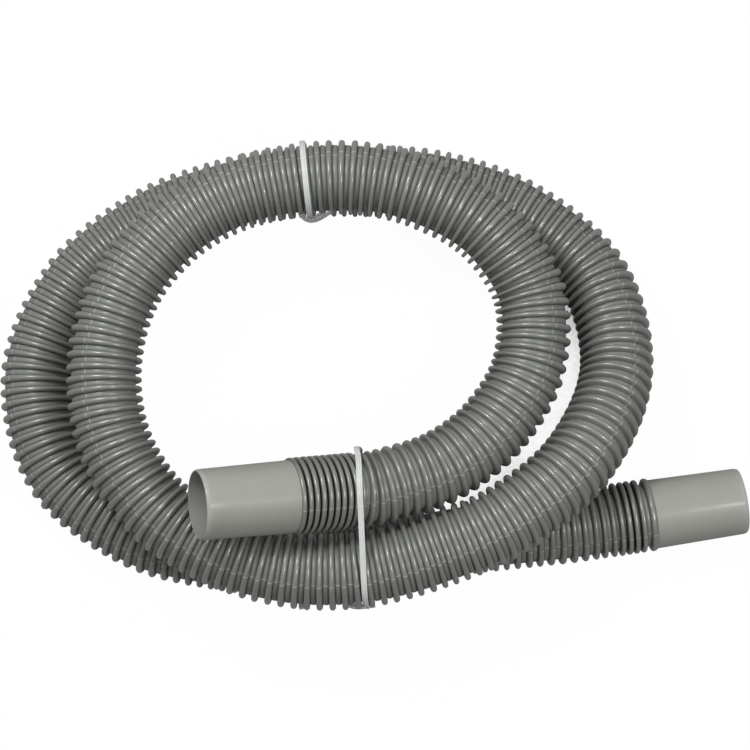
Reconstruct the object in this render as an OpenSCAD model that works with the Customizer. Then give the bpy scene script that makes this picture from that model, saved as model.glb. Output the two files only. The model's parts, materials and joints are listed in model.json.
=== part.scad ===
// Coiled 38 mm waste hose with two plain cuffs, held by two twist ties.
// Millimetres, +Z up. The coil lies on the floor z = 0, and the origin is the
// middle of the floor under the whole kit.

/* [Hose] */
// Outside diameter over the ribs
hose_od = 45; // [42:0.5:45.5]
// Height of a rib above the wall between ribs
rib_h = 3.9; // [3:0.1:4.5]
// Wall thickness between ribs
hose_wall = 1.4; // [1.2:0.1:2]
// Ribs along the whole hose
rib_count = 200; // [120:4:200]
// Ribs packed closely beside each cuff
packed_ribs = 10; // [6:1:11]
// Pitch of the packed ribs
packed_pitch = 4; // [3.2:0.1:4.2]
// Ribs from the first cuff to where the coil begins
lead_a_ribs = 14; // [12:1:16]
// Ribs from the end of the coil to the second cuff
lead_b_ribs = 20; // [18:1:22]

/* [Coil] */
// Height left between a turn and the turn that lies across it
turn_gap = 3.6; // [3:0.1:8]
// Share of the hose diameter that lies flat on the floor
flat_share = 0.1; // [0.05:0.01:0.12]

/* [Cuffs] */
// Length of a cuff outside the hose
cuff_len = 55; // [45:1:70]
// Bore, which takes a 38 mm pipe
cuff_bore = 38.1; // [36:0.1:38.6]
// Wall at the hose
base_wall = 2.05; // [1.8:0.05:2.6]
// Wall at the mouth
mouth_wall = 1.15; // [1:0.05:1.6]
// Depth of the shoulder that stops the pipe
shoulder = 4; // [2:0.5:8]
// Length of the spigot that is glued into the hose
spigot_len = 30; // [20:1:38]
// Wall of the spigot
spigot_wall = 1.6; // [1.2:0.1:2.4]
// Clearance round the spigot
spigot_gap = 0.3; // [0.2:0.05:0.6]

/* [Ties] */
// Width of the plastic ribbon
ribbon_w = 4; // [3:0.5:6]
// Thickness of the ribbon beside its wire
ribbon_t = 0.5; // [0.4:0.1:0.8]
// Thickness of the ridge over the wire
ridge_t = 1.2; // [1.1:0.1:1.8]
// Thickness of the wire
wire_t = 0.6; // [0.4:0.1:0.7]
// Clearance between the ribbon and the ribs
tie_gap = 0.4; // [0.3:0.1:1]
// Inner radius of the bend where a loose end leaves the loop
end_bend = 1.5; // [1:0.5:4]
// Length of a loose end after its bend
end_len = 8; // [5:1:16]

/* [Hidden] */

sides = 8;
half_side = 180 / sides;
// Corner radius of a ring whose area is that of a circle of radius 1
corner = sqrt(PI / (sides / 2 * sin(2 * half_side)));
hose_r = hose_od / 2;
root_r = hose_r - rib_h;
bore_r = root_r - hose_wall;
facet_r = hose_r * corner * cos(half_side);
end_run = hose_od;
base_r = cuff_bore / 2 + base_wall;
mouth_r = cuff_bore / 2 + mouth_wall;

// Height of the hose's axis on the floor, and the step up to a turn across it
low_z = facet_r - hose_od * flat_share;
turn_step = hose_od + turn_gap;

// The first hose end: its place, its height in turns, and the way the hose leaves it
end_a = [-49.3, -74];
end_a_turns = 1.57;
end_a_heading = 6.5;
end_a_slope = -20.5;
// The second hose end: its place, and the way the hose arrives
end_b = [170.5, -80.4];
end_b_heading = 8.5;

// The coil: radius and height in turns every 20 degrees round coil_centre,
// anticlockwise from coil_start, for two turns
coil_centre = [-30, 6];
coil_start = -60;
coil_angle = 20;
coil_turns = [
    [82, 1.14], [93, 1], [107, 0.88], [122, 0.83], [130.5, 0.85], [127.5, 0.96],
    [120, 1], [115, 1], [113, 1], [117, 1], [122.5, 1], [128, 1],
    [131, 1], [132.5, 1], [130.5, 1], [125.5, 1], [123, 1], [123.4, 1],
    [128.2, 1], [142, 1], [161.5, 0.84], [177, 0.38], [176, 0.07], [156.5, 0],
    [136.8, 0], [123.5, 0], [122.5, 0], [130, 0], [146, 0], [165.5, 0],
    [178.5, 0], [174, 0], [151.2, 0], [127.8, 0], [115.6, 0], [113.5, 0],
    [121.5, 0]
];
// The run from the coil to the second end: place, and height in turns
run_b = [[61, -94.3, 0], [94, -90.8, 0]];

function unit(v) = v / norm(v);
function heading(turn, slope) = [cos(slope) * cos(turn), cos(slope) * sin(turn), sin(slope)];
function lift(p, turns) = [p.x, p.y, low_z + turns * turn_step];

// Ends and their directions, both pointing from the first cuff to the second
dir_a = heading(end_a_heading, end_a_slope);
dir_b = heading(end_b_heading, 0);
point_a = lift(end_a, end_a_turns);
point_b = [end_b.x, end_b.y, base_r];

// Stations that the curved part of the hose passes through
stations = concat(
    [point_a + end_run * dir_a],
    [for (i = [0:len(coil_turns) - 1])
        let (a = coil_start + i * coil_angle, c = coil_turns[i])
        lift(coil_centre + c[0] * [cos(a), sin(a)], c[1])],
    [for (p = run_b) lift(p, p[2])],
    [point_b - end_run * dir_b]
);
last_station = len(stations) - 1;

// Hermite curve through the stations, with the end directions given
function slope_at(i) =
    i == 0 ? dir_a * norm(stations[1] - stations[0]) :
    i == last_station ? dir_b * norm(stations[i] - stations[i - 1]) :
    (stations[i + 1] - stations[i - 1]) / 2;
function hermite(i, t) =
    let (t2 = t * t, t3 = t2 * t)
    (2 * t3 - 3 * t2 + 1) * stations[i] + (t3 - 2 * t2 + t) * slope_at(i)
    + (3 * t2 - 2 * t3) * stations[i + 1] + (t3 - t2) * slope_at(i + 1);
steps = 16;
route = concat(
    [point_a],
    [for (i = [0:last_station - 1]) for (k = [0:steps - 1]) hermite(i, k / steps)],
    [stations[last_station], point_b]
);
// Distance along the route at each of its points
along_route = [for (i = 0, s = 0; i < len(route);
    s = s + (i + 1 < len(route) ? norm(route[i + 1] - route[i]) : 0), i = i + 1) s];
hose_len = along_route[len(route) - 1];
route_x = [for (i = [0:len(route) - 1]) [along_route[i], route[i].x]];
route_y = [for (i = [0:len(route) - 1]) [along_route[i], route[i].y]];
route_z = [for (i = [0:len(route) - 1]) [along_route[i], route[i].z]];
function raw_at(s) = [lookup(s, route_x), lookup(s, route_y), lookup(s, route_z)];
tangent_reach = 2;
function dir_at(s) =
    s < end_run - tangent_reach ? dir_a :
    s > hose_len - end_run + tangent_reach ? dir_b :
    unit(raw_at(s + tangent_reach) - raw_at(s - tangent_reach));

// Where each rib begins: packed at both ends, evenly spread between
open_ribs = rib_count - 2 * packed_ribs;
packed_len = packed_ribs * packed_pitch;
open_pitch = (hose_len - 2 * packed_len) / open_ribs;
function rib_start(i) =
    i <= packed_ribs ? i * packed_pitch :
    i >= rib_count - packed_ribs ? hose_len - (rib_count - i) * packed_pitch :
    packed_len + (i - packed_ribs) * open_pitch;
function rib_top(i) = (rib_start(i) + rib_start(i + 1)) / 2;

// Where the planes of the ties stand along X, and how far each is turned
tie_upper_x = -42;
tie_upper_turn = 6;
tie_lower_x = -7;
tie_lower_turn = 2.5;
// A tie: its plane, the runs that it goes round, each as the place along Y of
// its axis and its height in turns, and where its knot lies, as a share of the
// way from the first of these runs to the second
tie_upper = [tie_upper_x, tie_upper_turn, [[118, 1], [127, 0]], 0.45];
tie_lower = [tie_lower_x, tie_lower_turn, [[-113, 1], [-106, 0], [-69, 1.2]], 0.3];
function tie_x(tie) = tie[0];
function tie_turn(tie) = tie[1];
function tie_middle(tie) = (tie[2][0][0] + tie[2][1][0]) / 2;
function tie_runs(tie) = [for (p = tie[2])
    let (x = tie_x(tie) - (p[0] - tie_middle(tie)) * tan(tie_turn(tie)))
    nearest_s(lift([x, p[0]], p[1]))];
function tie_knot(tie) = tie[3];
// Where the route passes the place p.x, on the run that is nearest to p
function nearest_s(p) =
    let (s = [for (i = [0:len(route) - 2])
             let (q = route[i].x - p.x, r = route[i + 1].x - p.x)
             if (q * r < 0) along_route[i] + norm(route[i + 1] - route[i]) * q / (q - r)],
         d = [for (v = s) norm(raw_at(v) - p)])
    s[search(min(d), d)[0]];

// The hose's own flat, raised where a ribbon passes under it
tie_dent = open_pitch / 2;
ribbon_floor = ridge_t + tie_gap;
function near_tie(p) =
    (abs(p.x - tie_x(tie_upper)) < ribbon_w / 2 + tie_dent && p.y > 0)
    || (abs(p.x - tie_x(tie_lower)) < ribbon_w / 2 + tie_dent && p.y < 0);
function floor_at(p) = near_tie(p) ? ribbon_floor : 0;

// One ring of corners round the route, no lower than the floor
function ring(s, r, lowest = 0) =
    let (c = raw_at(s), t = dir_at(s), side = unit(cross([0, 0, 1], t)),
         up = cross(t, side), least = floor_at(c) + lowest)
    [for (k = [0:sides - 1])
        let (a = (2 * k + 1) * half_side,
             p = c + r * corner * (cos(a) * side + sin(a) * up))
        [p.x, p.y, max(p.z, least)]];

// The loop round the run at s: its corners in the plane of Y and Z, clear of the
// run's drift to the side across the ribbon's width
function loop_corners(s, out) =
    let (c = raw_at(s), t = dir_at(s),
         drift = ribbon_w / 2 * norm([t.y, t.z]) / abs(t.x),
         r = (hose_r + tie_gap + drift + out) * corner)
    [for (k = [0:sides - 1]) let (a = (2 * k + 1) * half_side)
        [c.y + r * cos(a) / abs(t.x), c.z + r * sin(a) / sqrt(1 - t.z * t.z)]];

// The knot's place on the long side of the loop, and the way out of the loop there
function run_centre(s) = let (c = raw_at(s)) [c.y, c.z];
function knot_way(tie) =
    let (s = tie_runs(tie), d = unit(run_centre(s[1]) - run_centre(s[0]))) [d.y, -d.x];
function knot_place(tie) =
    let (s = tie_runs(tie), p = run_centre(s[0]), q = run_centre(s[1]), n = knot_way(tie))
    p + tie_knot(tie) * (q - p) + n * max([for (c = loop_corners(s[0], 0)) (c - p) * n]);
knot_reach = end_bend + ribbon_t;

// The kit's middle on the floor, found from the ribs, the ties and the second mouth
all_tops = [for (i = [0:rib_count - 1]) each ring(rib_top(i), hose_r)];
loops_y = [for (tie = [tie_upper, tie_lower]) for (s = tie_runs(tie))
    for (c = loop_corners(s, ridge_t)) c.x];
knot_y = knot_place(tie_lower).x + knot_reach * knot_way(tie_lower).x;
mouth_b = point_b + cuff_len * dir_b;
low_x = min([for (p = all_tops) p.x]);
high_x = mouth_b.x + abs(dir_b.y) * mouth_r;
low_y = min(min([for (p = all_tops) p.y]), min(loops_y), knot_y);
high_y = max(max([for (p = all_tops) p.y]), max(loops_y));
shift = -[(low_x + high_x) / 2, (low_y + high_y) / 2, 0];

// Least gap between the ribs of two runs that pass each other, measured from
// the corners of each rib to the faces of the other run
skip_ribs = 8;
function out_of(v, s) =
    let (t = dir_at(s), side = unit(cross([0, 0, 1], t)), up = cross(t, side))
    abs(v * t) > open_pitch ? 1000 :
    max([for (k = [0:sides - 1])
        let (a = 2 * k * half_side) v * (cos(a) * side + sin(a) * up)]) - facet_r;
tops = [for (i = [0:rib_count - 1]) raw_at(rib_top(i))];
least_gap = min([for (i = [0:rib_count - 1]) for (j = [0:rib_count - 1])
    if (abs(i - j) > skip_ribs && norm(tops[i] - tops[j]) < 1.4 * hose_od)
        min([for (p = ring(rib_top(i), hose_r)) out_of(p - tops[j], rib_top(j))])]);
echo(hose_len = hose_len, open_pitch = open_pitch, least_gap = least_gap, shift = shift);

// Faces between two rings that start at corners a and b of the point list
function wall_faces(a, b) = [for (k = [0:sides - 1])
    let (n = (k + 1) % sides)
    each [[a + k, b + k, b + n], [a + k, b + n, a + n]]];
function flipped(faces) = [for (f = faces) [f[0], f[2], f[1]]];

// Whether the bore has a ring at rib i: it is straight inside the packed ribs,
// and bends at every second rib between them
function bore_turns(i) =
    i == rib_count - packed_ribs
    || (i >= packed_ribs && i < rib_count - packed_ribs && (i - packed_ribs) % 2 == 0);

// A stretch of ribbed tube with its bore, from one rib to another
module hose_stretch(from, to) {
    outer = [for (i = [from:to - 1])
        each [ring(rib_start(i), root_r), ring(rib_top(i), hose_r)]];
    outer_rings = concat(outer, [ring(rib_start(to), root_r)]);
    bore_marks = concat([from], [for (i = [from + 1:to - 1]) if (bore_turns(i)) i], [to]);
    bore_rings = [for (i = bore_marks) ring(rib_start(i), bore_r, hose_wall)];
    n_outer = len(outer_rings);
    n_bore = len(bore_rings);
    first_bore = n_outer * sides;
    last_outer = (n_outer - 1) * sides;
    last_bore = first_bore + (n_bore - 1) * sides;
    points = [for (r = concat(outer_rings, bore_rings)) each r];
    faces = concat(
        [for (i = [0:n_outer - 2]) each wall_faces(i * sides, (i + 1) * sides)],
        [for (i = [0:n_bore - 2])
            each flipped(wall_faces(first_bore + i * sides, first_bore + (i + 1) * sides))],
        flipped(wall_faces(0, first_bore)),
        wall_faces(last_outer, last_bore)
    );
    translate(shift) polyhedron(points, faces);
}

module along(p, d) {
    translate(shift + p) rotate([0, acos(d.z), atan2(d.y, d.x)]) children();
}

// A cuff: its mouth outwards along d, its shoulder on the hose end at p,
// and its spigot inside the hose
lip_r = mouth_wall / 2;
spigot_r = bore_r * corner * cos(half_side) - spigot_gap;
module cuff(p, d) {
    lip = [for (a = [0:30:180])
        [cuff_bore / 2 + lip_r + lip_r * cos(a), cuff_len - lip_r + lip_r * sin(a)]];
    along(p, d) rotate_extrude($fn = 96)
        polygon(concat(
            [[spigot_r, -spigot_len], [spigot_r, 0], [base_r, 0]],
            lip,
            [[cuff_bore / 2, shoulder], [spigot_r - spigot_wall, shoulder],
             [spigot_r - spigot_wall, -spigot_len]]
        ));
}

// Outline round a tie's runs, out by a distance, in the plane of Y and Z
module loop_outline(tie, out) {
    intersection() {
        hull() for (s = tie_runs(tie)) polygon(loop_corners(s, out));
        translate([-outline_size / 2, ridge_t - out]) square(outline_size);
    }
}

// Draws its children in the plane of a tie, which is turned about its middle
module tie_plane(tie) {
    translate(shift + [tie_x(tie), tie_middle(tie), 0]) rotate(tie_turn(tie))
        translate([0, -tie_middle(tie), 0]) children();
}

module tie_band(tie, width, inner, outer) {
    tie_plane(tie) translate([-width / 2, 0, 0]) rotate([90, 0, 90])
        linear_extrude(width) difference() {
            loop_outline(tie, outer);
            loop_outline(tie, inner);
        }
}

// One loose end, drawn flat: it leaves the knot outwards and bends along the hose
module loose_end() {
    bend_end = ribbon_t + end_bend;
    intersection() {
        translate([bend_end, 0]) difference() {
            circle(bend_end, $fn = 48);
            circle(end_bend, $fn = 48);
        }
        square(bend_end);
    }
    translate([bend_end, end_bend]) square([end_len, ribbon_t]);
}

module tie_ends(tie) {
    way = knot_way(tie);
    place = knot_place(tie);
    tie_plane(tie) translate([0, place.x, place.y]) rotate([atan2(way.y, way.x), 0, 0])
        linear_extrude(ribbon_w, center = true) {
            loose_end();
            mirror([1, 0]) loose_end();
        }
}

// The ribbon: a flat band with a ridge, hollow for its wire, and two loose ends
module tie_ribbon(tie) {
    difference() {
        union() {
            tie_band(tie, ribbon_w, 0, ribbon_t);
            tie_band(tie, ridge_w, 0, ridge_t);
            tie_ends(tie);
        }
        tie_wire(tie);
    }
}

module tie_wire(tie) {
    tie_band(tie, wire_t, wire_out, wire_out + wire_t);
}

outline_size = 600;
ridge_w = 2 * ridge_t;
wire_out = (ridge_t - wire_t) / 2;
hose_grey = [0.44, 0.44, 0.42];
cuff_grey = [0.62, 0.63, 0.60];
ribbon_white = [0.86, 0.88, 0.87];
wire_grey = [0.55, 0.56, 0.58];

module hose_lead_a() {
    color(hose_grey) hose_stretch(0, lead_a_ribs);
}

module hose_coil() {
    color(hose_grey) hose_stretch(lead_a_ribs, rib_count - lead_b_ribs);
}

module hose_lead_b() {
    color(hose_grey) hose_stretch(rib_count - lead_b_ribs, rib_count);
}

module cuff_a() {
    color(cuff_grey) cuff(point_a, -dir_a);
}

module cuff_b() {
    color(cuff_grey) cuff(point_b, dir_b);
}

module tie_upper_ribbon() {
    color(ribbon_white) tie_ribbon(tie_upper);
}

module tie_upper_wire() {
    color(wire_grey) tie_wire(tie_upper);
}

module tie_lower_ribbon() {
    color(ribbon_white) tie_ribbon(tie_lower);
}

module tie_lower_wire() {
    color(wire_grey) tie_wire(tie_lower);
}

hose_lead_a();
hose_coil();
hose_lead_b();
cuff_a();
cuff_b();
tie_upper_ribbon();
tie_upper_wire();
tie_lower_ribbon();
tie_lower_wire();
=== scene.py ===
"""Looks of a ribbed waste hose, coiled and tied, with a plain cuff on each end.

Lengths are in metres. The hose follows the same stations as its CAD solids, and
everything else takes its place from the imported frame.
"""

import json
import math

import bpy
import numpy as np
from mathutils import Matrix


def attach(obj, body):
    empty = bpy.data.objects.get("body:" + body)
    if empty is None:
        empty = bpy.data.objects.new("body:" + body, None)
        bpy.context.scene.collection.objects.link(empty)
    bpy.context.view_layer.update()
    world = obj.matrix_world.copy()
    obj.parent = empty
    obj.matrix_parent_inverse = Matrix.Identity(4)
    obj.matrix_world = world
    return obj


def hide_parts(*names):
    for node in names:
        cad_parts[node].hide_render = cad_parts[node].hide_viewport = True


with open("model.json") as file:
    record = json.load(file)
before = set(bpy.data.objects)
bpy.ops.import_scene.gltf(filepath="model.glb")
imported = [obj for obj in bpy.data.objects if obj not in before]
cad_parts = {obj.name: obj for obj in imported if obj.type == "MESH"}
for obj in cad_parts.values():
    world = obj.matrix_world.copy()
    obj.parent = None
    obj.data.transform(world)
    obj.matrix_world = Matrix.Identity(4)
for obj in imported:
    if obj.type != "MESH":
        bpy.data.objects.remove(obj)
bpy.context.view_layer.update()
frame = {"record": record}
MOUNTS = {mount["name"]: mount for mount in frame["record"]["mounts"]}
BODY = "root"
MM = 0.001
TURN = 2 * math.pi

# Hose
HOSE_OD = 45 * MM
CREST_R = HOSE_OD / 2
VALLEY_R = 18.3 * MM
LOW_RIB_R = 19.05 * MM
LOW_RIB_LIFT = 2 * MM
BORE_R = 17.2 * MM
PACKED_VALLEY_R = 17.6 * MM
# Half of the gap between tall ribs: where they are packed, and in the open as a least
# half and a share of half their pitch, which a bend widens on its outer side
PACKED_GAP = 0.46 * MM
OPEN_GAP = 0.55 * MM
OPEN_GAP_SHARE = 0.33
OPEN_PITCH = 6.8 * MM
# How far tall ribs stray: from even places and from their radius in mm, and from square
# in degrees
PITCH_STRAY = 0.12
CREST_STRAY = (-0.08, 0.04)
TILT_STRAY = 0.6
PACKED_A_PITCH = 4 * MM
PACKED_A_RIBS = 10
FIRST_CREST = 2 * MM
# Tall ribs beside cuff B: the last one's distance from the cuff, and the steps back
LAST_CREST = 3.2 * MM
PACKED_B_STEPS = np.array([5.9, 4.5, 4.3, 4.6, 4.9, 5.9, 5.0, 6.8]) * MM
# A low rib shows between tall ribs from the first of these distances on, and stands in full
# at the second
LOW_RIB_SHOWS = (4.0 * MM, 5.3 * MM)

# Route of the hose, with the heights of its turns above the floor
CAD_LOW_Z = 17.41 * MM
CAD_TURN_STEP = 48.6 * MM
LOW_Z = 21.9 * MM
TURN_STEP = 45.25 * MM
END_RUN = 45 * MM
END_A = (-0.0493, -0.074)
END_A_TURNS = 1.57
END_A_HEADING = 6.5
END_A_SLOPE = -20.5
END_B = (0.1705, -0.0804)
END_B_HEADING = 8.5
COIL_CENTRE = (-0.03, 0.006)
COIL_START = -60
COIL_ANGLE = 20
COIL_TURNS = [
    (0.082, 1.14), (0.093, 1), (0.107, 0.88), (0.122, 0.83), (0.1305, 0.85), (0.1275, 0.96),
    (0.12, 1), (0.115, 1), (0.113, 1), (0.117, 1), (0.1225, 1), (0.128, 1),
    (0.131, 1), (0.1325, 1), (0.1305, 1), (0.1255, 1), (0.123, 1), (0.1234, 1),
    (0.1282, 1), (0.142, 1), (0.1615, 0.84), (0.177, 0.38), (0.176, 0.07), (0.1565, 0),
    (0.1368, 0), (0.1235, 0), (0.1225, 0), (0.13, 0), (0.146, 0), (0.1655, 0),
    (0.1785, 0), (0.174, 0), (0.1512, 0), (0.1278, 0), (0.1156, 0), (0.1135, 0),
    (0.1215, 0),
]
RUN_B = [(0.061, -0.0943, 0), (0.094, -0.0908, 0)]
STATION_STEPS = 48
ROUTE_STEP = 0.5 * MM
# Steps of the route each way over which its direction and its bend are evened out
TANGENT_REACH = 6
BEND_REACH = 20

# Cuffs
CUFF_LEN = 55 * MM
CUFF_BORE_R = 19.05 * MM
BASE_WALL = 2.05 * MM
MOUTH_WALL = 1.15 * MM
ROUNDING_LEN = 2.9 * MM
ROUNDING_DEPTH = 0.95 * MM
SKIRT_LEN = 1.3 * MM
SKIRT_R = 18.2 * MM
SHOULDER = 4 * MM
SPIGOT_LEN = 30 * MM
SPIGOT_R = 16.44 * MM
SPIGOT_WALL = 1.6 * MM
BASE_R = CUFF_BORE_R + BASE_WALL
CUFF_SIDES = 144
# Where the sheen that grows towards its mouth starts along each cuff
SHEEN_FROM_A = 42 * MM
SHEEN_FROM_B = 10 * MM
# Painted shade down the bore: how dark it is at its mouth, and how much darker at its shoulder
BORE_SHADE = (0.35, 0.5)
# Where the painted highlight on the mouth's rounded edge starts and is full, as shares of
# its length from the mouth
ROUNDING_HIGHLIGHT = (1.15, 0.7)
# What counts as the bore: up to this far outside its radius, fading in over the second
BORE_LIMITS = (0.3 * MM, 0.1 * MM)

# Ties: place of the plane along X, its turn, and the runs as (place along Y, height in turns)
TIE_UPPER = (-0.042, 6, [(0.118, 1), (0.127, 0)])
TIE_LOWER = (-0.007, 2.5, [(-0.113, 1), (-0.106, 0), (-0.069, 1.2)])
RIBBON_W = 3.4 * MM
WEB_T = 0.25 * MM
BEAD_R = 0.3 * MM
RIDGE_T = 1.0 * MM
TIE_CLEAR = 0.15 * MM
WIRE_R = 0.3 * MM
TIE_STEP = 0.6 * MM
# Directions in which a tie's loop is looked for, and the sides of each run that it goes
# round, then the steps each way over which its path and its outward directions are evened
LOOP_WAYS = 1440
RUN_SIDES = 180
LOOP_REACH = 4
OUTWARD_REACH = 6
# Where a loop leaves its even course: (place along Y, height, reach, distance out,
# distance along X), in mm, and a roll of the ribbon in degrees
UPPER_BENDS = [(96, 60, 5, 0.4, 0.3, 25)]
LOWER_BENDS = [(-50, 84, 5, 3, -1.3, 0), (-45, 76, 4, 0.3, 1.2, 0), (-136, 66, 11, -1.1, 0.8, 46)]
# Loose ends, on the -Y side of a tie's first run: (distance along the hose towards +X in mm,
# angle above the hose's middle in degrees, distance from its centre line in mm, roll in degrees)
UPPER_ENDS = [
    [
        (-5.8, 20, 24.3, 2), (-4.6, 13, 24.7, -5), (-2.4, 4.5, 25.3, -13), (0.6, -1, 25.7, -19),
        (4.2, 2.5, 25.5, -16), (7.3, 8, 25.1, -10), (10.4, 14, 24.7, -4), (13.6, 20, 24.2, 2),
    ],
    [(0.4, 2, 24, -16), (2.2, 1, 24.4, -17), (4.4, 7, 24.1, -11), (6.6, 15, 23.7, -3)],
]
LOWER_ENDS = [
    [
        (3.6, -33, 25.2, -57), (0, -33.5, 25.3, -56), (-4, -33.5, 25.3, -56), (-8.3, -36, 25, -52),
        (-14, -46, 24.3, -30), (-22, -52, 24, -15), (-30, -46, 23.9, -35), (-34.2, -32, 23.8, -58),
        (-36.4, -29, 23.9, -62),
    ],
]

# Stage: the floor, a sky brighter on one side, where the lamps look, and the camera
FLOOR_HALF = 3.0
FLOOR_TONE = 0.35
FLOOR_WHITE = 1.06
FLOOR_WHITE_SHARE = 0.92
SHADE_REACH = 0.12
SHADE_LIMITS = (0.125, 0.165)
SKY_TOWARD = (-0.25, 0.4, 0.88)
SKY_DIM = 0.1
SKY_BRIGHT = 0.62
WHITE = (1, 1, 1, 1)
LAMP_TARGET = np.array([0, 0, 0.04])
CAMERA_ELEVATION = 83
CAMERA_DISTANCE = 1.1484
CAMERA_TARGET_Z = 0.066
CAMERA_LENS = 92.64
CAMERA_SENSOR = 36

rng = np.random.default_rng(7)


# ---------------------------------------------------------------- arrays


def unit(v):
    """Each vector over its length."""
    return v / np.linalg.norm(v, axis=-1, keepdims=True)


def heading(turn, slope):
    """Direction at an angle round Z from X, climbing by slope."""
    turn, slope = math.radians(turn), math.radians(slope)
    level = math.cos(slope)
    return np.array([level * math.cos(turn), level * math.sin(turn), math.sin(slope)])


def smooth(x, low, high):
    """0 below low, 1 above high, and 3t^2 - 2t^3 between them."""
    t = np.clip((x - low) / (high - low), 0, 1)
    return t * t * (3 - 2 * t)


def lengths_along(points):
    """Distance along a polyline at each of its points."""
    return np.concatenate([[0], np.cumsum(np.linalg.norm(np.diff(points, axis=0), axis=1))])


def columns_at(places, s, table):
    """Each column of a table over s, interpolated in straight lines at the places."""
    return np.stack([np.interp(places, s, table[:, k]) for k in range(table.shape[1])], -1)


def resample(points, step, *others):
    """The polyline at even distances of about step, with any other tables taken along."""
    s = lengths_along(points)
    even = np.linspace(0, s[-1], max(2, round(s[-1] / step)) + 1)
    tables = [columns_at(even, s, table) for table in (points, *others)]
    return tables if others else tables[0]


def hermite(stations, slopes, steps):
    """Cubic Hermite curve between each two stations p and q with slopes m and n:
    (2t^3 - 3t^2 + 1) p + (t^3 - 2t^2 + t) m + (3t^2 - 2t^3) q + (t^3 - t^2) n."""
    t = np.arange(steps)[None, :, None] / steps
    p, q = stations[:-1, None], stations[1:, None]
    m, n = slopes[:-1, None], slopes[1:, None]
    curve = (2 * t**3 - 3 * t**2 + 1) * p + (t**3 - 2 * t**2 + t) * m
    curve = curve + (3 * t**2 - 2 * t**3) * q + (t**3 - t**2) * n
    return np.concatenate([curve.reshape(-1, stations.shape[1]), stations[-1:]])


def smooth_line(points, steps=12):
    """Hermite curve through points, with half the step between neighbours as slope."""
    points = np.asarray(points, float)
    slopes = np.gradient(points, axis=0)
    return hermite(points, slopes, steps)


# ---------------------------------------------------------------- meshes


def grid_faces(rows, columns, closed):
    """Quads of a grid of points whose last column joins the first, and so does its last row
    where it is closed: points (r, c), (r, c + 1), (r + 1, c + 1) and (r + 1, c)."""
    r = np.arange(rows if closed else rows - 1)[:, None]
    c = np.arange(columns)[None, :]
    r2, c2 = (r + 1) % rows, (c + 1) % columns
    corners = (r * columns + c, r * columns + c2, r2 * columns + c2, r2 * columns + c)
    return np.stack(np.broadcast_arrays(*corners), -1).reshape(-1, 4)


def make_piece(name, grids, material, values=None, sharp=60):
    """One mesh object from closed grids of points, each (rows, columns, 3) and joined
    round its columns, and round its rows or over flat caps at both ends.
    values are named numbers for each point."""
    points, quads, caps, start = [], [], [], 0
    for grid, closed in grids:
        rows, columns = grid.shape[:2]
        points.append(grid.reshape(-1, 3))
        quads.append(grid_faces(rows, columns, closed) + start)
        if not closed:
            first = start + np.arange(columns)
            caps += [first[::-1].tolist(), (first + (rows - 1) * columns).tolist()]
        start += rows * columns
    mesh = bpy.data.meshes.new(name)
    mesh.from_pydata(np.concatenate(points), [], np.concatenate(quads).tolist() + caps)
    for key, numbers in (values or {}).items():
        layer = mesh.attributes.new(key, "FLOAT", "POINT")
        layer.data.foreach_set("value", numbers.astype(np.float32).ravel())
    mesh.shade_smooth()
    mesh.set_sharp_from_angle(angle=math.radians(sharp))
    mesh.materials.append(material)
    piece = bpy.data.objects.new(name, mesh)
    bpy.context.scene.collection.objects.link(piece)
    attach(piece, BODY)
    return piece


def rolled(turn, across, outward):
    """Across and outward turned about the path: cos(turn) * across + sin(turn) * outward, and
    cos(turn) * outward - sin(turn) * across."""
    cos, sin = np.cos(turn), np.sin(turn)
    return cos * across + sin * outward, cos * outward - sin * across


def carried(path, across, outward, section):
    """A section carried along a path: point + u * across + v * outward for each (u, v)."""
    u, v = section[:, 0][None, :, None], section[:, 1][None, :, None]
    return path[:, None] + u * across[:, None] + v * outward[:, None]


# ---------------------------------------------------------------- materials


class Number:
    """A number in a material. Arithmetic on it adds Math nodes."""

    def __init__(self, recipe, socket):
        self.recipe = recipe
        self.socket = socket

    def math(self, operation, first, second):
        """One Math node on two values."""
        return self.recipe.add("ShaderNodeMath", {"operation": operation}, {0: first, 1: second})

    def __add__(self, other):
        return self.math("ADD", self, other)

    def __sub__(self, other):
        return self.math("SUBTRACT", self, other)

    def __mul__(self, other):
        return self.math("MULTIPLY", self, other)

    def __rsub__(self, other):
        return self.math("SUBTRACT", other, self)

    __radd__ = __add__
    __rmul__ = __mul__


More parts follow.
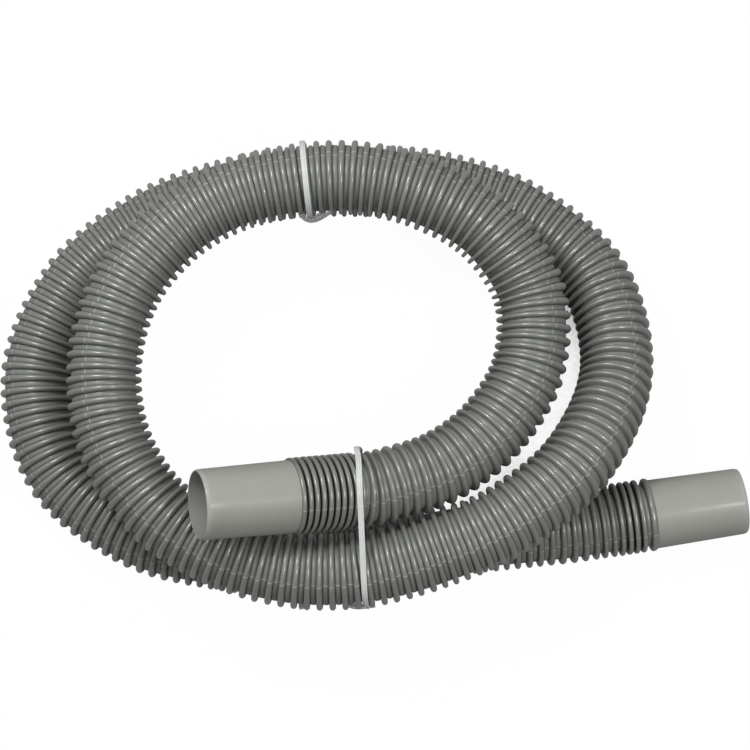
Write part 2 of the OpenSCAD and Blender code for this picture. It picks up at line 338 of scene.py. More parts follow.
class Recipe:
    """A material with one Principled shader, and a method that adds any other node."""

    def __init__(self, name):
        self.material = bpy.data.materials.new(name)
        self.material.use_nodes = True
        self.tree = self.material.node_tree
        self.shader = self.tree.nodes["Principled BSDF"]
        self.place = self.add("ShaderNodeTexCoord", {}, {}, "Object")

    def put(self, socket, value):
        """Links a number to a socket, or sets the socket to a plain value."""
        if isinstance(value, Number):
            self.tree.links.new(value.socket, socket)
        else:
            socket.default_value = value

    def add(self, kind, settings, inputs, output=0):
        """A node of a type, with its settings and its inputs, as the number that it gives."""
        node = self.tree.nodes.new(kind)
        for key, value in settings.items():
            setattr(node, key, value)
        for key, value in inputs.items():
            self.put(node.inputs[key], value)
        return Number(self, node.outputs[output])

    def noise(self, size, detail):
        """Noise from 0 to 1 whose features are about size across."""
        inputs = {"Vector": self.place, "Scale": 1 / size, "Detail": detail}
        return self.add("ShaderNodeTexNoise", {}, inputs)

    def value(self, name):
        """A named number of the mesh."""
        return self.add("ShaderNodeAttribute", {"attribute_name": name}, {}, "Fac")

    def mix(self, share, first, second):
        """Share of the way from the first colour to the second."""
        return self.add("ShaderNodeMix", {"data_type": "RGBA"}, {0: share, 6: first, 7: second}, 2)

    def bump(self, height, distance, strength):
        """Surface relief from a height between 0 and 1."""
        inputs = {"Strength": strength, "Distance": distance, "Height": height}
        return self.add("ShaderNodeBump", {}, inputs)

    def finish(self, **inputs):
        """Sets the shader's sockets and gives the material."""
        for key, value in inputs.items():
            self.put(self.shader.inputs[key.replace("_", " ")], value)
        return self.material


def grey(r, g, b):
    """An opaque colour for a shader."""
    return (r, g, b, 1.0)


def hose_plastic():
    """Glossy grey polyethylene: warm on the tall ribs, cooler on the low ones, cloudy all over
    and pale along its parting line. Shade is painted dark into the creases between packed ribs
    and into the bore, where the coat and the line fade too."""
    m = Recipe("hose_plastic")
    cloud = m.noise(0.04, 3)
    blotch = m.noise(0.006, 3)
    grain = m.noise(0.0011, 2)
    tall = m.value("tall")
    low = m.mix(cloud, grey(0.23, 0.249, 0.232), grey(0.265, 0.284, 0.266))
    high = m.mix(cloud, grey(0.226, 0.226, 0.207), grey(0.262, 0.262, 0.243))
    body = m.mix(tall, low, high)
    mottled = m.mix(blotch * 0.35, body, grey(0.19, 0.19, 0.174))
    # Painted shade: creases between packed ribs, and the bore, are darkened towards near black
    dark = m.mix(m.value("crease_shade"), mottled, grey(0.012, 0.01, 0.009))
    # Share outside the painted shade; the coat and the pale line fade into the shade
    bare = 1 - m.value("crease_shade") * 0.9
    colour = m.mix(m.value("line") * bare * (0.5 + cloud * 0.6), dark, grey(0.7, 0.7, 0.665))
    return m.finish(
        Base_Color=colour,
        Roughness=0.42 + blotch * 0.12 - tall * 0.1,
        Coat_Weight=bare * (0.12 + tall * 0.7 + cloud * 0.18),
        Coat_Roughness=0.25,
        Coat_IOR=1.85,
        Normal=m.bump(grain, 0.03 * MM, 0.3),
    )


def cuff_plastic():
    """Fine matt moulded plastic, light warm grey, faintly mottled, with a sheen that grows towards
    the mouth. A highlight is painted on the mouth's rounded edge, and shade down the bore."""
    m = Recipe("cuff_plastic")
    cloud = m.noise(0.02, 4)
    grain = m.noise(0.0006, 2)
    body = m.mix(cloud, grey(0.35, 0.357, 0.318), grey(0.395, 0.402, 0.361))
    # Painted highlight on the mouth's rounded edge
    with_rounding_highlight = m.mix(m.value("rounding_highlight") * 0.8, body, grey(0.44, 0.448, 0.41))
    # Painted shade down the bore, from the depth value
    colour = m.mix(m.value("depth"), with_rounding_highlight, grey(0.14, 0.143, 0.127))
    return m.finish(
        Base_Color=colour,
        Roughness=0.45 + grain * 0.08,
        Coat_Weight=0.02 + m.value("sheen") * cloud * 0.25,
        Coat_Roughness=0.12,
        Normal=m.bump(grain, 0.04 * MM, 0.3),
    )


def ribbon_film():
    """Glossy milky plastic film, greyer on its thin webs and loose ends, with a highlight painted
    pale along its beads and its ridge.
    """
    m = Recipe("ribbon_film")
    streak = m.noise(0.004, 3)
    web = m.mix(streak, grey(0.6, 0.65, 0.63), grey(0.7, 0.74, 0.72))
    # Painted highlight: the beads and the ridge over the wire are paler
    body = m.mix(m.value("bead"), web, grey(0.8, 0.83, 0.81))
    faint = m.value("loose") * (1 - m.value("bead") * 0.45)
    colour = m.mix(faint * 0.7, body, grey(0.33, 0.35, 0.34))
    return m.finish(
        Base_Color=colour,
        Roughness=0.18 + streak * 0.12,
        Alpha=1 - faint * 0.35,
        Normal=m.bump(streak, 0.1 * MM, 0.3),
    )


def tie_steel():
    """Drawn steel wire with faint drawing marks."""
    m = Recipe("tie_steel")
    mark = m.noise(0.0012, 2)
    colour = m.mix(mark, grey(0.45, 0.46, 0.48), grey(0.6, 0.61, 0.63))
    return m.finish(Base_Color=colour, Metallic=1.0, Roughness=0.3 + mark * 0.15)


# ---------------------------------------------------------------- route


def shift_to_frame():
    """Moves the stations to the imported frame: cuff B's shoulder plane against its mount."""
    mount = MOUNTS["cuff_b_bore"]
    middle = (SHOULDER + CUFF_LEN - MOUTH_WALL / 2) / 2
    return np.array(mount["pos_m"]) - middle * np.array(mount["axis"]) - np.array([*END_B, BASE_R])


SHIFT = shift_to_frame()
DIR_A = heading(END_A_HEADING, END_A_SLOPE)
DIR_B = heading(END_B_HEADING, 0)
POINT_A = SHIFT + [*END_A, CAD_LOW_Z + END_A_TURNS * CAD_TURN_STEP]
POINT_B = SHIFT + [*END_B, BASE_R]


def lift(x, y, turns):
    """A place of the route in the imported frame, at a height of so many turns."""
    return SHIFT + [x, y, LOW_Z + turns * TURN_STEP]


def hose_stations():
    """The end of the straight run at cuff A, the coil's stations, and the run to cuff B."""
    coil = []
    x, y = COIL_CENTRE
    for i, (radius, turns) in enumerate(COIL_TURNS):
        a = math.radians(COIL_START + i * COIL_ANGLE)
        coil.append(lift(x + radius * math.cos(a), y + radius * math.sin(a), turns))
    run = [lift(*place) for place in RUN_B]
    return np.array([POINT_A + END_RUN * DIR_A, *coil, *run, POINT_B - END_RUN * DIR_B])


def hose_route():
    """Straight run, Hermite curve through the stations, straight run, every half millimetre."""
    stations = hose_stations()
    slopes = np.gradient(stations, axis=0)
    slopes[0] = DIR_A * np.linalg.norm(stations[1] - stations[0])
    slopes[-1] = DIR_B * np.linalg.norm(stations[-1] - stations[-2])
    curve = hermite(stations, slopes, STATION_STEPS)
    return resample(np.concatenate([[POINT_A], curve, [POINT_B]]), ROUTE_STEP)


def softened(table, reach):
    """Mean of a table of vectors over a reach of samples each way, its ends held."""
    kernel = np.hanning(2 * reach + 3)[1:-1]
    kernel /= kernel.sum()
    held = np.concatenate([np.repeat(table[:1], reach, 0), table, np.repeat(table[-1:], reach, 0)])
    return np.stack([np.convolve(held[:, k], kernel, "valid") for k in range(3)], -1)


ROUTE = hose_route()
ROUTE_S = lengths_along(ROUTE)
HOSE_LEN = ROUTE_S[-1]
TANGENT = unit(softened(np.gradient(ROUTE, ROUTE_S, axis=0), TANGENT_REACH))
SIDE = unit(np.cross([0, 0, 1], TANGENT))
UP = np.cross(TANGENT, SIDE)
BEND = softened(np.gradient(TANGENT, ROUTE_S, axis=0), BEND_REACH)


def around(table, reach):
    """Mean of a closed table over a reach of samples each way."""
    weights = np.hanning(2 * reach + 3)[1:-1]
    return sum(w * np.roll(table, k - reach, 0) for k, w in enumerate(weights)) / weights.sum()


def sample(table, s):
    """A table of the route at distances s along it."""
    return columns_at(s, ROUTE_S, table)


# ---------------------------------------------------------------- ties: where they stand


class TiePlane:
    """The upright plane of a tie, and the runs of hose that pass through it."""

    def __init__(self, tie):
        x, turn, runs = tie
        a = math.radians(turn)
        self.normal = np.array([math.cos(a), math.sin(a), 0])
        self.level = np.array([-math.sin(a), math.cos(a), 0])
        self.up = np.array([0, 0, 1.0])
        self.middle = (runs[0][0] + runs[1][0]) / 2
        self.origin = np.array([x, self.middle, 0]) + SHIFT * [1, 1, 0]
        self.run_s = [self.nearest_s(lift(x, y, turns)) for y, turns in runs]

    def depth(self, points):
        """How far points lie past the plane along its normal."""
        return (points - self.origin) @ self.normal

    def nearest_s(self, place):
        """Where the route crosses the plane, on the run nearest to a place."""
        d = self.depth(ROUTE)
        hits = np.nonzero(d[:-1] * d[1:] < 0)[0]
        return ROUTE_S[hits[np.argmin(np.linalg.norm(ROUTE[hits] - place, axis=1))]]

    def sections(self):
        """Each run's outline in the plane: its circle slid along the hose onto the plane."""
        phi = np.linspace(0, TURN, RUN_SIDES + 1)[:-1, None]
        outlines = []
        for s in self.run_s:
            c, t, side, up = (sample(table, [s]) for table in (ROUTE, TANGENT, SIDE, UP))
            rim = c + CREST_R * (np.cos(phi) * side + np.sin(phi) * up)
            rim = rim - t * (self.depth(rim) / (t @ self.normal))[:, None]
            outlines.append(np.stack([(rim - self.origin) @ self.level, rim[:, 2]], -1))
        return np.concatenate(outlines)

    def loop(self, out, bends):
        """The hull of the runs, out by a distance and off the floor, at even steps, as
        (place, across, outward) in space: for each direction, the furthest point of the
        sections. At a bend it moves out and aside, and rolls, by a bell curve of its reach."""
        a = np.linspace(0, TURN, LOOP_WAYS + 1)
        way = np.stack([np.cos(a), np.sin(a)], -1)
        rim = self.sections()
        hull = rim[np.argmax(rim @ way.T, axis=0)] + out * way
        hull[:, 1] = np.maximum(hull[:, 1], out)
        flat, way = resample(hull, TIE_STEP, way)
        flat, way = around(flat[:-1], LOOP_REACH), unit(around(way[:-1], OUTWARD_REACH))
        moves = np.zeros((len(flat), 3))
        for y, z, reach, extra, aside, roll in bends:
            place = np.array([y * MM - self.middle, z * MM])
            near = np.exp(-0.5 * (((flat - place) / (reach * MM)) ** 2).sum(1))
            moves += near[:, None] * [extra * MM, aside * MM, math.radians(roll)]
        outward = way[:, :1] * self.level + way[:, 1:] * self.up
        path = self.origin + flat[:, :1] * self.level + flat[:, 1:] * self.up
        path = path + moves[:, :1] * outward + moves[:, 1:2] * self.normal
        return path, *rolled(moves[:, 2:], self.normal, outward)


PLANE_UPPER = TiePlane(TIE_UPPER)
PLANE_LOWER = TiePlane(TIE_LOWER)


def floor_under(points):
    """The floor, raised under the hose where a ribbon passes beneath it."""
    rise = np.zeros(points.shape[:-1])
    for plane, low in ((PLANE_UPPER, points[..., 1] > 0), (PLANE_LOWER, points[..., 1] < 0)):
        near = 1 - smooth(np.abs(plane.depth(points)), RIBBON_W, 2 * RIBBON_W)
        rise = np.maximum(rise, near * low * (RIDGE_T + 2 * TIE_CLEAR))
    return rise


# ---------------------------------------------------------------- hose


def crest_places():
    """Centres of the tall ribs: packed at cuff A, even with a little scatter, packed at cuff B."""
    first = FIRST_CREST + PACKED_A_PITCH * np.arange(PACKED_A_RIBS)
    last = HOSE_LEN - LAST_CREST - np.concatenate([[0], np.cumsum(PACKED_B_STEPS)])[::-1]
    count = round((last[0] - first[-1]) / OPEN_PITCH)
    between = np.linspace(first[-1], last[0], count + 1)[1:-1]
    between = between + rng.uniform(-PITCH_STRAY, PITCH_STRAY, len(between)) * MM
    return np.concatenate([first, between, last])


CREST_S = crest_places()
LOW_S = np.concatenate([[0], (CREST_S[1:] + CREST_S[:-1]) / 2, [HOSE_LEN]])
SHOWS = np.concatenate([[0], smooth(np.diff(CREST_S), *LOW_RIB_SHOWS), [0]])
RIBS = len(CREST_S)
CREST_RS = CREST_R + rng.uniform(*CREST_STRAY, RIBS) * MM
LOW_RS = PACKED_VALLEY_R + SHOWS * (LOW_RIB_R - PACKED_VALLEY_R)
VALLEY_RS = PACKED_VALLEY_R + SHOWS * (VALLEY_R - PACKED_VALLEY_R)
CREST_TILT = np.radians(rng.uniform(-TILT_STRAY, TILT_STRAY, (RIBS, 2)))
LOW_TILT = np.concatenate([[[0, 0]], (CREST_TILT[1:] + CREST_TILT[:-1]) / 2, [[0, 0]]])

# The low rib's profile: share of half the gap, and share of the low rib's height
LOW_PROFILE = np.array([(0, 1), (0.66, 0.95), (0.88, 0.65), (1, 0)])
# The tall rib: its round top's radius as a share of its half width, the angles of the
# top's rows, and the foot of its wall as shares of the wall's width and the rib's height
TOP_SHARE = 0.92
TOP_ANGLES = np.radians([90, 60, 30, 0])
PACKED_TOP = 0.7
FOOT_SHARE = 0.35
FOOT_HEIGHT = 0.2
# How far each row of half a rib belongs to the tall rib, and how much painted shade it gets
# in the creases of packed ribs
ROW_TALL = np.array([0, 0, 0, 0, 0.4, 1, 1, 1, 1])
ROW_CREASE_SHADE = np.array([1, 1, 1, 1, 1, 0.6, 0.1, 0, 0])
# Painted shade over the hose's bore
HOSE_BORE_SHADE = 0.5
# The surface's stretch in a bend is taken a little inside the crests
STRETCH_R = 0.9 * CREST_R

# The parting line's angle past the top of the hose, by share of the hose's length
LINE_SHARE = [0, 0.12, 0.3, 0.38, 0.45, 0.58, 0.68, 0.8, 1]
LINE_ANGLE = [28, 33, 27, 27, 22, 32, 40, 40, 38]
LINE_HALF = math.radians(1.2)
LINE_RISE = 0.05 * MM
LINE_FADE_ON_CRESTS = 0.2
PLAIN_COLUMNS = 24


def column_angles():
    """Angles round the hose from its parting line: the line, its edge and a column beside it,
    then even steps to the same on the opposite line, and all again on the other half."""
    even = np.linspace(2 * LINE_HALF, math.pi - 2 * LINE_HALF, PLAIN_COLUMNS)
    half = np.concatenate([[0, LINE_HALF], even, [math.pi - LINE_HALF]])
    return np.concatenate([half, half + math.pi])


COLUMNS = column_angles()
ON_LINE = (np.abs(np.sin(COLUMNS)) < 1e-6).astype(float)


def half_rib_rows(low_s, crest_s, low_r, valley_r, crest_r, shows):
    """Rows of half a rib, from the middle of a low rib to a tall crest. A distance w along
    the surface moves w / g along the centre line, where g = 1 - r * (bend . radial) is the
    surface's stretch. The gap reaches a + b * (half pitch) from its middle; past a foot and
    a steep wall, the tall rib ends in a round top: w = crest - R * sin(angle),
    r = crest - H * (1 - cos(angle)), H being R in the open and less where ribs are packed.
    Gives distance along the hose, radius, the share of the way to the crest, how far a row
    belongs to the tall rib, and its painted shade in the creases."""
    s0 = low_s[:, None, None]
    bend, side, up = (sample(t, low_s)[:, None, None] for t in (BEND, SIDE, UP))
    angle = line_angle(low_s)[:, None]
    radial = np.cos(angle)[..., None] * side + np.sin(angle)[..., None] * up
    g = 1 - STRETCH_R * (radial * bend).sum(-1)
    half_pitch = np.abs(crest_s - low_s)[:, None, None] * g
    shows, low_r, valley_r, crest_r = (x[:, None, None] for x in (shows, low_r, valley_r, crest_r))
    gap = PACKED_GAP + shows * (OPEN_GAP - PACKED_GAP + OPEN_GAP_SHARE * half_pitch)
    rib = half_pitch - gap
    top = TOP_SHARE * rib
    drop = top * (PACKED_TOP + shows * (1 - PACKED_TOP))
    share, height = (LOW_PROFILE[:, k][None, :, None] for k in (0, 1))
    turn = TOP_ANGLES[None, :, None]
    places = [share * gap, gap + FOOT_SHARE * (rib - top), half_pitch - top * np.sin(turn)]
    w = np.concatenate(places, 1)
    low_r = low_r + shows * LOW_RIB_LIFT * (g - 1)
    foot = valley_r + FOOT_HEIGHT * (crest_r - valley_r) + 0 * gap
    radii = [valley_r + height * (low_r - valley_r), foot, crest_r - drop * (1 - np.cos(turn))]
    tall = ROW_TALL[None, :, None] + 0 * w
    # Painted shade in the creases of packed ribs
    crease_shade = ROW_CREASE_SHADE[None, :, None] * (1 - shows) + 0 * w
    way = np.sign(crest_s - low_s)[:, None, None]
    return s0 + way * w / g, np.concatenate(radii, 1), w / half_pitch, tall, crease_shade


def line_angle(s):
    """Angle of every column round the hose at distances s, from the inner side over the top."""
    share = np.asarray(s) / HOSE_LEN
    line = np.radians(90 + np.interp(share, LINE_SHARE, LINE_ANGLE))
    return line[..., None] + COLUMNS


def tube_rows(first, last):
    """Rows of ribs first to last: a climb to each crest and a fall to the next low rib. A rib
    leans by a slope round two axes: s + radius * (lean0 * cos(angle) + lean1 * sin(angle))."""
    n, after = slice(first, last), slice(first + 1, last + 1)
    tables = []
    for low in (n, after):
        s, radius, share, tall, crease_shade = half_rib_rows(
            LOW_S[low], CREST_S[n], LOW_RS[low], VALLEY_RS[low], CREST_RS[n], SHOWS[low]
        )
        angle = line_angle(s[..., 0].mean(1))[:, None]
        share = share[..., None]
        lean = LOW_TILT[low][:, None, None] * (1 - share) + CREST_TILT[n][:, None, None] * share
        s = s + radius * (lean[..., 0] * np.cos(angle) + lean[..., 1] * np.sin(angle))
        tables.append((s, radius, tall, crease_shade))
    rows = []
    for climb, fall in zip(*tables):
        ribs = np.concatenate([climb, fall[:, -2:0:-1]], 1).reshape(-1, len(COLUMNS))
        rows.append(np.concatenate([ribs, fall[-1:, 0]]))
    return rows


def hose_piece(name, first, last, material):
    """A stretch of hose from one low rib to another: ribs outside, a plain bore inside and
    flat ends. A point is route(s) + r * (cos(angle) * side + sin(angle) * up)."""
    s, radius, tall, crease_shade = tube_rows(first, last)
    s[0], s[-1] = LOW_S[first], LOW_S[last]
    bore_s = np.linspace(LOW_S[last], LOW_S[first], (last - first) // 2)[:, None] + 0 * COLUMNS
    s = np.concatenate([s, bore_s])
    radius = np.concatenate([radius + LINE_RISE * ON_LINE, 0 * bore_s + BORE_R])
    tall = np.concatenate([tall, 0 * bore_s])
    # The bore gets painted shade as well
    crease_shade = np.concatenate([crease_shade, 0 * bore_s + HOSE_BORE_SHADE])
    angle = line_angle(s.mean(1))
    centre, side, up = (sample(t, s) for t in (ROUTE, SIDE, UP))
    ring = np.cos(angle)[..., None] * side + np.sin(angle)[..., None] * up
    points = centre + radius[..., None] * ring
    points[..., 2] = np.maximum(points[..., 2], floor_under(points))
    line = (1 - LINE_FADE_ON_CRESTS * tall) * ON_LINE
    values = {"tall": tall, "crease_shade": crease_shade, "line": line}
    piece = make_piece(name, [(points, True)], material, values, sharp=85)
    return piece, [LOW_S[first], LOW_S[last]]


def low_rib_at(s):
    """The low rib nearest to a distance along the hose."""
    return int(np.argmin(np.abs(LOW_S - s)))


def declare_hose(nodes):
    """Hides the imported hose parts that the stretch stands for."""
    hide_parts(*nodes)


# ---------------------------------------------------------------- cuffs


def arc(centre, radius, start, end, steps=8):
    """Points (r, z) on a circle about centre, from one angle to another in degrees."""
    a = np.radians(np.linspace(start, end, steps + 1))
    return [(centre[0] + radius * c, centre[1] + radius * s) for c, s in zip(np.cos(a), np.sin(a))]


def mouth_rounding():
    """Quarter ellipse from the outer wall to the end face, and a small round into the bore."""
    edge = MOUTH_WALL - ROUNDING_DEPTH
    a = np.radians(np.linspace(0, 90, 11))
    radii = CUFF_BORE_R + edge + ROUNDING_DEPTH * np.cos(a)
    places = CUFF_LEN - ROUNDING_LEN * (1 - np.sin(a))
    return [*zip(radii, places)] + arc((CUFF_BORE_R + edge, CUFF_LEN - edge), edge, 90, 180, 3)[1:]


def cuff_profile():
    """Closed outline (r, z) of a cuff: spigot, skirt over the hose's end, tapered wall, round
    mouth, bore and shoulder."""
    fillet = 0.5 * MM
    step = 0.4 * MM
    inner = SPIGOT_R - SPIGOT_WALL
    wall = np.linspace(0, 1, 12)[1:-1]
    narrowing = CUFF_BORE_R + MOUTH_WALL - BASE_R
    taper = [(BASE_R + t * narrowing, t * (CUFF_LEN - ROUNDING_LEN)) for t in wall]
    return np.array(
        [(SPIGOT_R - step, -SPIGOT_LEN), (SPIGOT_R, -SPIGOT_LEN + step), (SPIGOT_R, 0)]
        + [(SKIRT_R, 0), (SKIRT_R, -SKIRT_LEN)]
        + arc((BASE_R - fillet, fillet - SKIRT_LEN), fillet, -90, 0)
        + taper
        + mouth_rounding()
        + arc((CUFF_BORE_R - step, SHOULDER + step), step, 0, -90, 4)
        + arc((inner + step, SHOULDER - step), step, 90, 180, 4)
        + [(inner, -SPIGOT_LEN)]
    )


def cuff_piece(name, place, way, material, sheen_from):
    """The outline turned round the cuff's axis: r * (cos(a) * side + sin(a) * up) + z * way.
    Its sheen grows from a distance along it to its mouth."""
    profile = cuff_profile()
    r, z = profile.T
    highlight_from, highlight_to = (CUFF_LEN - share * ROUNDING_LEN for share in ROUNDING_HIGHLIGHT)
    inside = smooth(CUFF_BORE_R + BORE_LIMITS[0] - r, 0, BORE_LIMITS[1])
    looks = {
        # Where the mouth's rounded edge gets its painted highlight
        "rounding_highlight": smooth(z, highlight_from, highlight_to),
        "sheen": smooth(z, sheen_from, CUFF_LEN),
        # Painted shade down the bore, darker towards the shoulder
        "depth": inside * (BORE_SHADE[0] + BORE_SHADE[1] * smooth(-z, -CUFF_LEN, -SHOULDER)),
    }
    side = unit(np.cross([0, 0, 1], way))
    up = np.cross(way, side)
    a = np.linspace(0, TURN, CUFF_SIDES + 1)[:-1, None]
    ring = np.cos(a) * side + np.sin(a) * up
    grid = place + r[:, None, None] * ring[None] + z[:, None, None] * way
    looks = {key: np.repeat(numbers, len(ring)) for key, numbers in looks.items()}
    return make_piece(name, [(grid, True)], material, looks, sharp=40)


# ---------------------------------------------------------------- ties


def ribbon_section():
    """Outline (u, v) of the ribbon, and how far each point is on a bead: round beads along
    both edges, thin webs, and a ridge over the wire."""
    w, b, web, ridge = RIBBON_W / 2, BEAD_R, WEB_T / 2, RIDGE_T / 2
    edge = [(w, 0, 1), (w - 0.3 * b, 0.7 * b, 1), (w - b, b, 1), (w - 1.7 * b, 0.7 * b, 0.6)]
    flat = [(w - 2.2 * b, web, 0), (1.35 * ridge, web, 0)]
    over = [(0.87 * ridge, 0.5 * ridge, 0.5), (0.5 * ridge, 0.87 * ridge, 0.9), (0, ridge, 1)]
    top = np.array(edge + flat + over)
    top = np.concatenate([top, top[-2::-1] * [-1, 1, 1]])
    outline = np.concatenate([top, top[-2:0:-1] * [1, -1, 1]])
    return outline[:, :2], outline[:, 2]


def round_section(radius, sides=8):
    """Outline (u, v) of a wire: radius * (cos(a), sin(a))."""
    a = np.linspace(0, TURN, sides + 1)[:-1]
    return radius * np.stack([np.cos(a), np.sin(a)], -1)


def loose_end(s, marks):
    """Path, across and outward of a loose end beside the hose at s. Its marks are joined by
    a Hermite curve, and it lies flat round the hose but for its roll."""
    degree = math.pi / 180
    along, angle, far, roll = (smooth_line(marks) * [MM, degree, MM, degree]).T[:, :, None]
    ahead = np.sign(sample(TANGENT, [s])[0, 0])
    place = s + ahead * along[:, 0]
    level = ahead * unit(np.cross(sample(TANGENT, place), [0, 0, 1]))
    radial = np.cos(angle) * level + np.sin(angle) * np.array([0, 0, 1])
    path, radial, roll = resample(sample(ROUTE, place) + far * radial, ROUTE_STEP, radial, roll)
    forward = unit(np.gradient(path, axis=0))
    across = unit(np.cross(radial, forward))
    return path, *rolled(roll, across, np.cross(forward, across))


def tie_pieces(name, plane, bends, ends, film, steel, nodes):
    """A tie's loop of ribbon round its runs with its loose ends, and the wire inside."""
    section, bead = ribbon_section()
    courses = [(plane.loop(TIE_CLEAR + RIDGE_T / 2, bends), True)]
    courses += [(loose_end(plane.run_s[0], marks), False) for marks in ends]
    ribbons = [(carried(*course, section), closed) for course, closed in courses]
    wires = [(carried(*course, round_section(WIRE_R)), closed) for course, closed in courses]
    loose = [np.full(grid.shape[:2], 0.0 if closed else 1.0) for grid, closed in ribbons]
    beads = [np.broadcast_to(bead, grid.shape[:2]) for grid, _ in ribbons]
    values = {
        "bead": np.concatenate([table.ravel() for table in beads]),
        "loose": np.concatenate([table.ravel() for table in loose]),
    }
    ribbon = make_piece(f"{name}_film", ribbons, film, values, sharp=50)
    wire = make_piece(f"{name}_core", wires, steel)
    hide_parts(nodes[0])
    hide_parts(nodes[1])


# ---------------------------------------------------------------- stage


def make_floor():
    """Pale floor that shows white to the camera, with a faint shadow, and is dark where
    little but hose is above it."""
    m = Recipe("floor")
    rays = m.add("ShaderNodeLightPath", {}, {}, "Is Camera Ray")
    reach = {"Distance": SHADE_REACH}
    open_sky = m.add("ShaderNodeAmbientOcclusion", {"samples": 16}, reach, "AO")
    limits = {"Value": open_sky, "From Min": SHADE_LIMITS[0], "From Max": SHADE_LIMITS[1]}
    clear = m.add("ShaderNodeMapRange", {"interpolation_type": "SMOOTHSTEP"}, limits)
    m.finish(Base_Color=grey(FLOOR_TONE, FLOOR_TONE, FLOOR_TONE), Roughness=0.9)
    white = m.tree.nodes.new("ShaderNodeEmission")
    white.inputs[1].default_value = FLOOR_WHITE
    mix = m.tree.nodes.new("ShaderNodeMixShader")
    m.put(mix.inputs[0], rays * clear * FLOOR_WHITE_SHARE)
    m.tree.links.new(m.shader.outputs[0], mix.inputs[1])
    m.tree.links.new(white.outputs[0], mix.inputs[2])
    m.tree.links.new(mix.outputs[0], m.tree.nodes["Material Output"].inputs[0])
    corners = FLOOR_HALF * np.array([(-1, -1, 0), (1, -1, 0), (1, 1, 0), (-1, 1, 0)])
    mesh = bpy.data.meshes.new("floor")
    mesh.from_pydata(corners.tolist(), [], [(0, 1, 2, 3)])
    mesh.materials.append(m.material)
    floor = bpy.data.objects.new("floor", mesh)
    bpy.context.scene.collection.objects.link(floor)


def aim(thing, place, target):
    """Puts a lamp or a camera at a place, looking at a target with +Y up in its view."""
    back = unit(np.asarray(place, float) - target)
    right = unit(np.cross([0, 1, 0.001], back))
    up = np.cross(back, right)
    matrix = np.eye(4)
    matrix[:3, 0], matrix[:3, 1], matrix[:3, 2], matrix[:3, 3] = right, up, back, place
    thing.matrix_world = Matrix(matrix.tolist())


def lamp(name, place, size, radiance):
    """A soft box of a given brightness: its power is radiance * pi * area."""
    data = bpy.data.lights.new(name, "AREA")
    data.shape = "RECTANGLE"
    data.size, data.size_y = size
    data.energy = radiance * math.pi * size[0] * size[1]
    thing = bpy.data.objects.new(name, data)
    bpy.context.scene.collection.objects.link(thing)
    thing.visible_camera = False
    aim(thing, place, LAMP_TARGET)


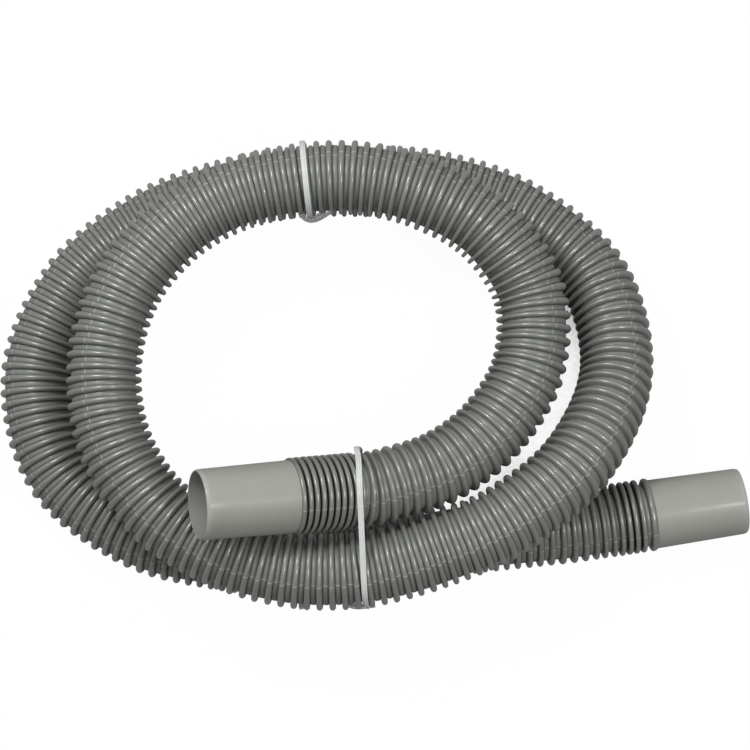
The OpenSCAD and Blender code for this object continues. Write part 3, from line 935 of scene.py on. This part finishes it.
def make_lights():
    """Two soft boxes and a sky, dim below and away from its bright side, which the camera
    sees as white. The sky's share of its bright tone is the cosine to that side."""
    lamp("far_left", place=(-0.35, 0.36, 0.86), size=(0.24, 0.24), radiance=19.4)
    lamp("near_right", place=(0.44, -0.2, 0.87), size=(0.17, 0.17), radiance=26.3)
    world = bpy.data.worlds.new("studio")
    bpy.context.scene.world = world
    world.use_nodes = True
    nodes, links = world.node_tree.nodes, world.node_tree.links
    way = nodes.new("ShaderNodeTexCoord")
    toward = nodes.new("ShaderNodeVectorMath")
    toward.operation = "DOT_PRODUCT"
    toward.inputs[1].default_value = SKY_TOWARD
    links.new(way.outputs["Generated"], toward.inputs[0])
    shares = nodes.new("ShaderNodeMixShader")
    links.new(toward.outputs["Value"], shares.inputs[0])
    tones = [(nodes["Background"], SKY_DIM), (nodes.new("ShaderNodeBackground"), SKY_BRIGHT)]
    for number, (background, strength) in enumerate(tones):
        background.inputs["Color"].default_value = WHITE
        background.inputs["Strength"].default_value = strength
        links.new(background.outputs[0], shares.inputs[1 + number])
    backdrop = nodes.new("ShaderNodeBackground")
    path = nodes.new("ShaderNodeLightPath")
    mix = nodes.new("ShaderNodeMixShader")
    links.new(path.outputs["Is Camera Ray"], mix.inputs[0])
    links.new(shares.outputs[0], mix.inputs[1])
    links.new(backdrop.outputs[0], mix.inputs[2])
    backdrop.inputs["Color"].default_value = WHITE
    links.new(mix.outputs[0], nodes["World Output"].inputs[0])


def make_camera():
    """Looks down from 83 degrees above the horizon, over a view 45 cm wide at 1.15 m."""
    target = np.array([SHIFT[0], SHIFT[1], CAMERA_TARGET_Z])
    a = math.radians(CAMERA_ELEVATION)
    data = bpy.data.cameras.new("camera")
    data.sensor_width = CAMERA_SENSOR
    data.lens = CAMERA_LENS
    thing = bpy.data.objects.new("camera", data)
    bpy.context.scene.collection.objects.link(thing)
    aim(thing, target + CAMERA_DISTANCE * np.array([0, -math.cos(a), math.sin(a)]), target)
    bpy.context.scene.camera = thing


make_camera()
make_lights()
make_floor()
bpy.context.scene.view_settings.view_transform = "Standard"

plastic = hose_plastic()
matt = cuff_plastic()
film = ribbon_film()
steel = tie_steel()

cuff_a = cuff_piece("cuff_upper_end", POINT_A, -DIR_A, matt, SHEEN_FROM_A)
cuff_b = cuff_piece("cuff_lower_end", POINT_B, DIR_B, matt, SHEEN_FROM_B)
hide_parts("cuff_a")
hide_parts("cuff_b")

# The hose is cut at the low ribs under three of the ties' runs
cut_places = (PLANE_UPPER.run_s[0], PLANE_LOWER.run_s[0], PLANE_UPPER.run_s[1])
cuts = [0, *(low_rib_at(s) for s in cut_places), RIBS]
stretches = [
    ("hose_from_upper_cuff", "object", ["hose_lead_a", "hose_coil"], []),
    ("hose_upper_turn", "object", ["hose_coil"], []),
    ("hose_middle_turn", "object", ["hose_coil"], []),
    ("hose_to_lower_cuff", "fitting", ["hose_coil", "hose_lead_b"], [cuff_b]),
]
for (name, far_end, nodes, with_pieces), first, last in zip(stretches, cuts[:-1], cuts[1:]):
    stretch, ends = hose_piece(name, first, last, plastic)
    declare_hose(nodes)

upper_nodes = ("tie_upper_ribbon", "tie_upper_wire")
lower_nodes = ("tie_lower_ribbon", "tie_lower_wire")
tie_pieces("tie_upper", PLANE_UPPER, UPPER_BENDS, UPPER_ENDS, film, steel, upper_nodes)
tie_pieces("tie_lower", PLANE_LOWER, LOWER_BENDS, LOWER_ENDS, film, steel, lower_nodes)
